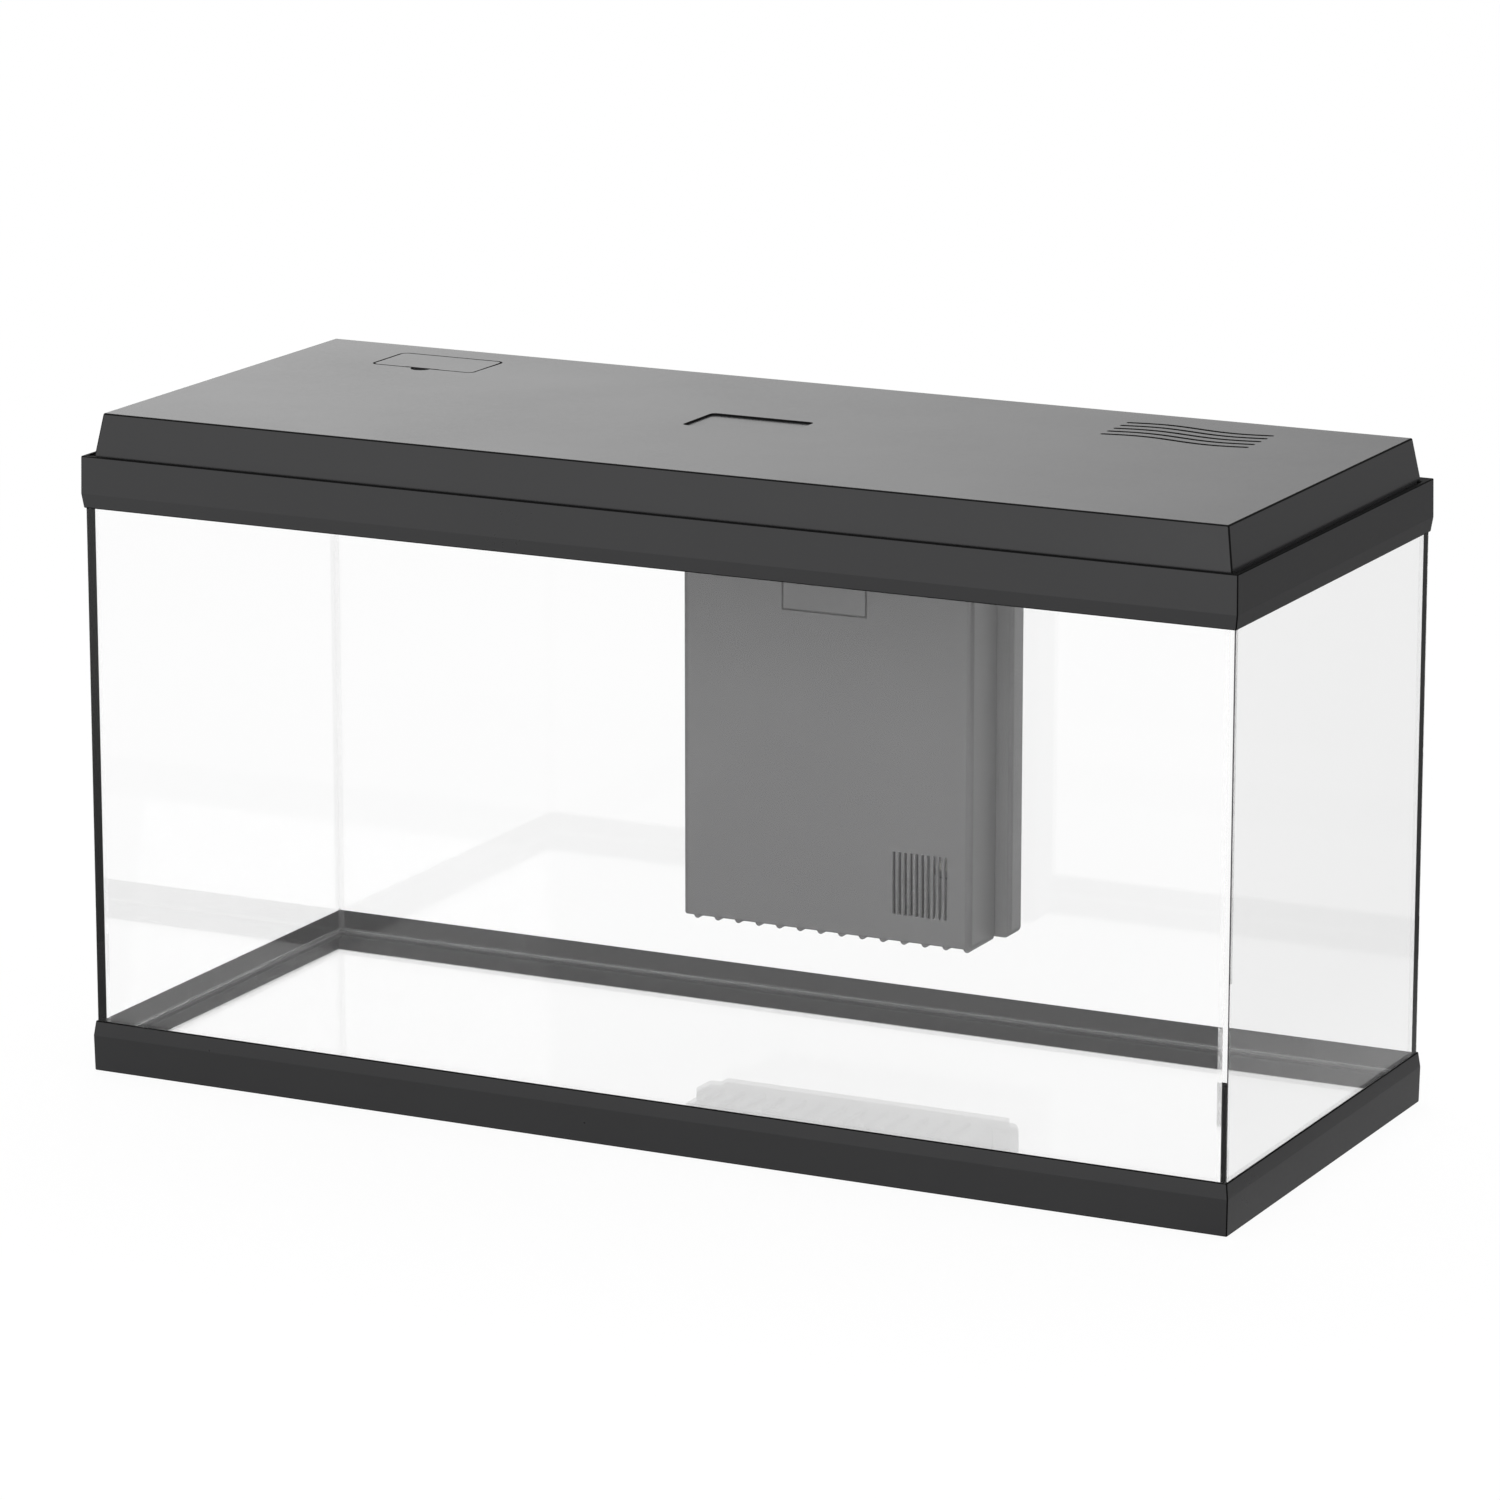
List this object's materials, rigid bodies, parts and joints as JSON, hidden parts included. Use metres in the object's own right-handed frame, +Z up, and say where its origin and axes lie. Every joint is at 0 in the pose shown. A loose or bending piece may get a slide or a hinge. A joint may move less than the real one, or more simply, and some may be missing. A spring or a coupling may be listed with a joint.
{
  "type": "glass aquarium tank",
  "caption": "Framed glass aquarium with a hinged hood, feeding flap, hood lamp and an internal box filter on the rear glass.",
  "frame": {"origin": "centre of the footprint, on the ground", "axes": "+X right along the tank, +Y back, +Z up"},
  "size_m": [0.8, 0.32, 0.4352],
  "materials": {
    "pane_glass": "clear float glass",
    "silicone_clear": "translucent silicone",
    "frame_black": "satin black moulding",
    "hood_black": "satin black moulding",
    "filter_grey": "satin dark moulding",
    "inner_black": "matt black plastic",
    "steel": "stainless",
    "lamp_metal": "anodised",
    "board_white": "white solder mask",
    "chip_yellow": "phosphor over a white package",
    "lens_clear": "clear acrylic",
    "sponge_coarse": "open foam",
    "sponge_fine": "fine foam",
    "ceramic_cream": "porous, unglazed",
    "ceramic_white": "smooth",
    "magnet_black": "plastic-bonded magnet",
    "pump_grey": "satin",
    "heater_glass": "clear borosilicate",
    "knob_red": "satin",
    "pad_rubber": "matt"
  },
  "bodies": {
    "tank": {"front_pane": "pane_glass", "rear_pane": "pane_glass", "left_pane": "pane_glass", "right_pane": "pane_glass", "floor_pane": "pane_glass", "corner_seals": "silicone_clear", "floor_seal": "silicone_clear", "base_frame": "frame_black", "top_rim": "frame_black", "hinge_bracket_left": "inner_black", "hinge_bracket_right": "inner_black", "hinge_pin_left": "steel", "hinge_pin_right": "steel", "hinge_screws": "steel", "filter_front": "filter_grey", "filter_back": "filter_grey", "fixing_pads": "silicone_clear", "chamber_divider": "filter_grey", "media_grid": "filter_grey", "coarse_sponge": "sponge_coarse", "fine_sponge": "sponge_fine", "media_basket": "inner_black", "ceramic_rings": "ceramic_cream", "pump_tray": "filter_grey", "pump_motor": "pump_grey", "pump_volute": "pump_grey", "impeller_shaft": "ceramic_white", "pump_feet": "pad_rubber", "outlet_elbow": "inner_black", "outlet_panel": "filter_grey", "nozzle_collar": "inner_black", "heater_tube": "heater_glass", "heater_core": "ceramic_white", "heater_head": "inner_black", "heater_clips": "inner_black"},
    "hood": {"hood_shell": "hood_black", "lamp_housing": "lamp_metal", "lamp_board": "board_white", "led_chips": "chip_yellow", "lamp_lens": "lens_clear", "lamp_end_left": "inner_black", "lamp_end_right": "inner_black", "lamp_gland": "inner_black", "lamp_screws": "steel"},
    "flap": {"feeding_flap": "hood_black"},
    "impeller_rotor": {"impeller": "magnet_black"},
    "nozzle": {"outlet_nozzle": "inner_black"},
    "filter_cover": {"filter_lid": "filter_grey"},
    "heater_dial": {"heater_knob": "knob_red"}
  },
  "joints": [
    {"name": "hood_hinge", "type": "hinge", "parent": "tank", "child": "hood", "pos_m": [0, 0.1562, 0.413], "axis": [-1, 0, 0], "range_deg": [0, 80]},
    {"name": "flap_hinge", "type": "hinge", "parent": "hood", "child": "flap", "pos_m": [-0.2834, 0.112, 0.4334], "axis": [-1, 0, 0], "range_deg": [0, 90]},
    {"name": "nozzle_swivel", "type": "hinge", "parent": "tank", "child": "nozzle", "pos_m": [0.0099, 0.0805, 0.3513], "axis": [0, 0, 1], "range_deg": [-30, 30]},
    {"name": "impeller_spin", "type": "hinge", "parent": "tank", "child": "impeller_rotor", "pos_m": [0, 0.11887, 0.3153], "axis": [1, 0, 0], "continuous": true},
    {"name": "filter_lid_lift", "type": "slide", "parent": "tank", "child": "filter_cover", "axis": [0, 0, 1], "range_m": [0, 0.02]},
    {"name": "heater_knob_turn", "type": "hinge", "parent": "tank", "child": "heater_dial", "pos_m": [0.08375, 0.11887, 0.3567], "axis": [0, 0, 1], "range_deg": [0, 270]}
  ]
}
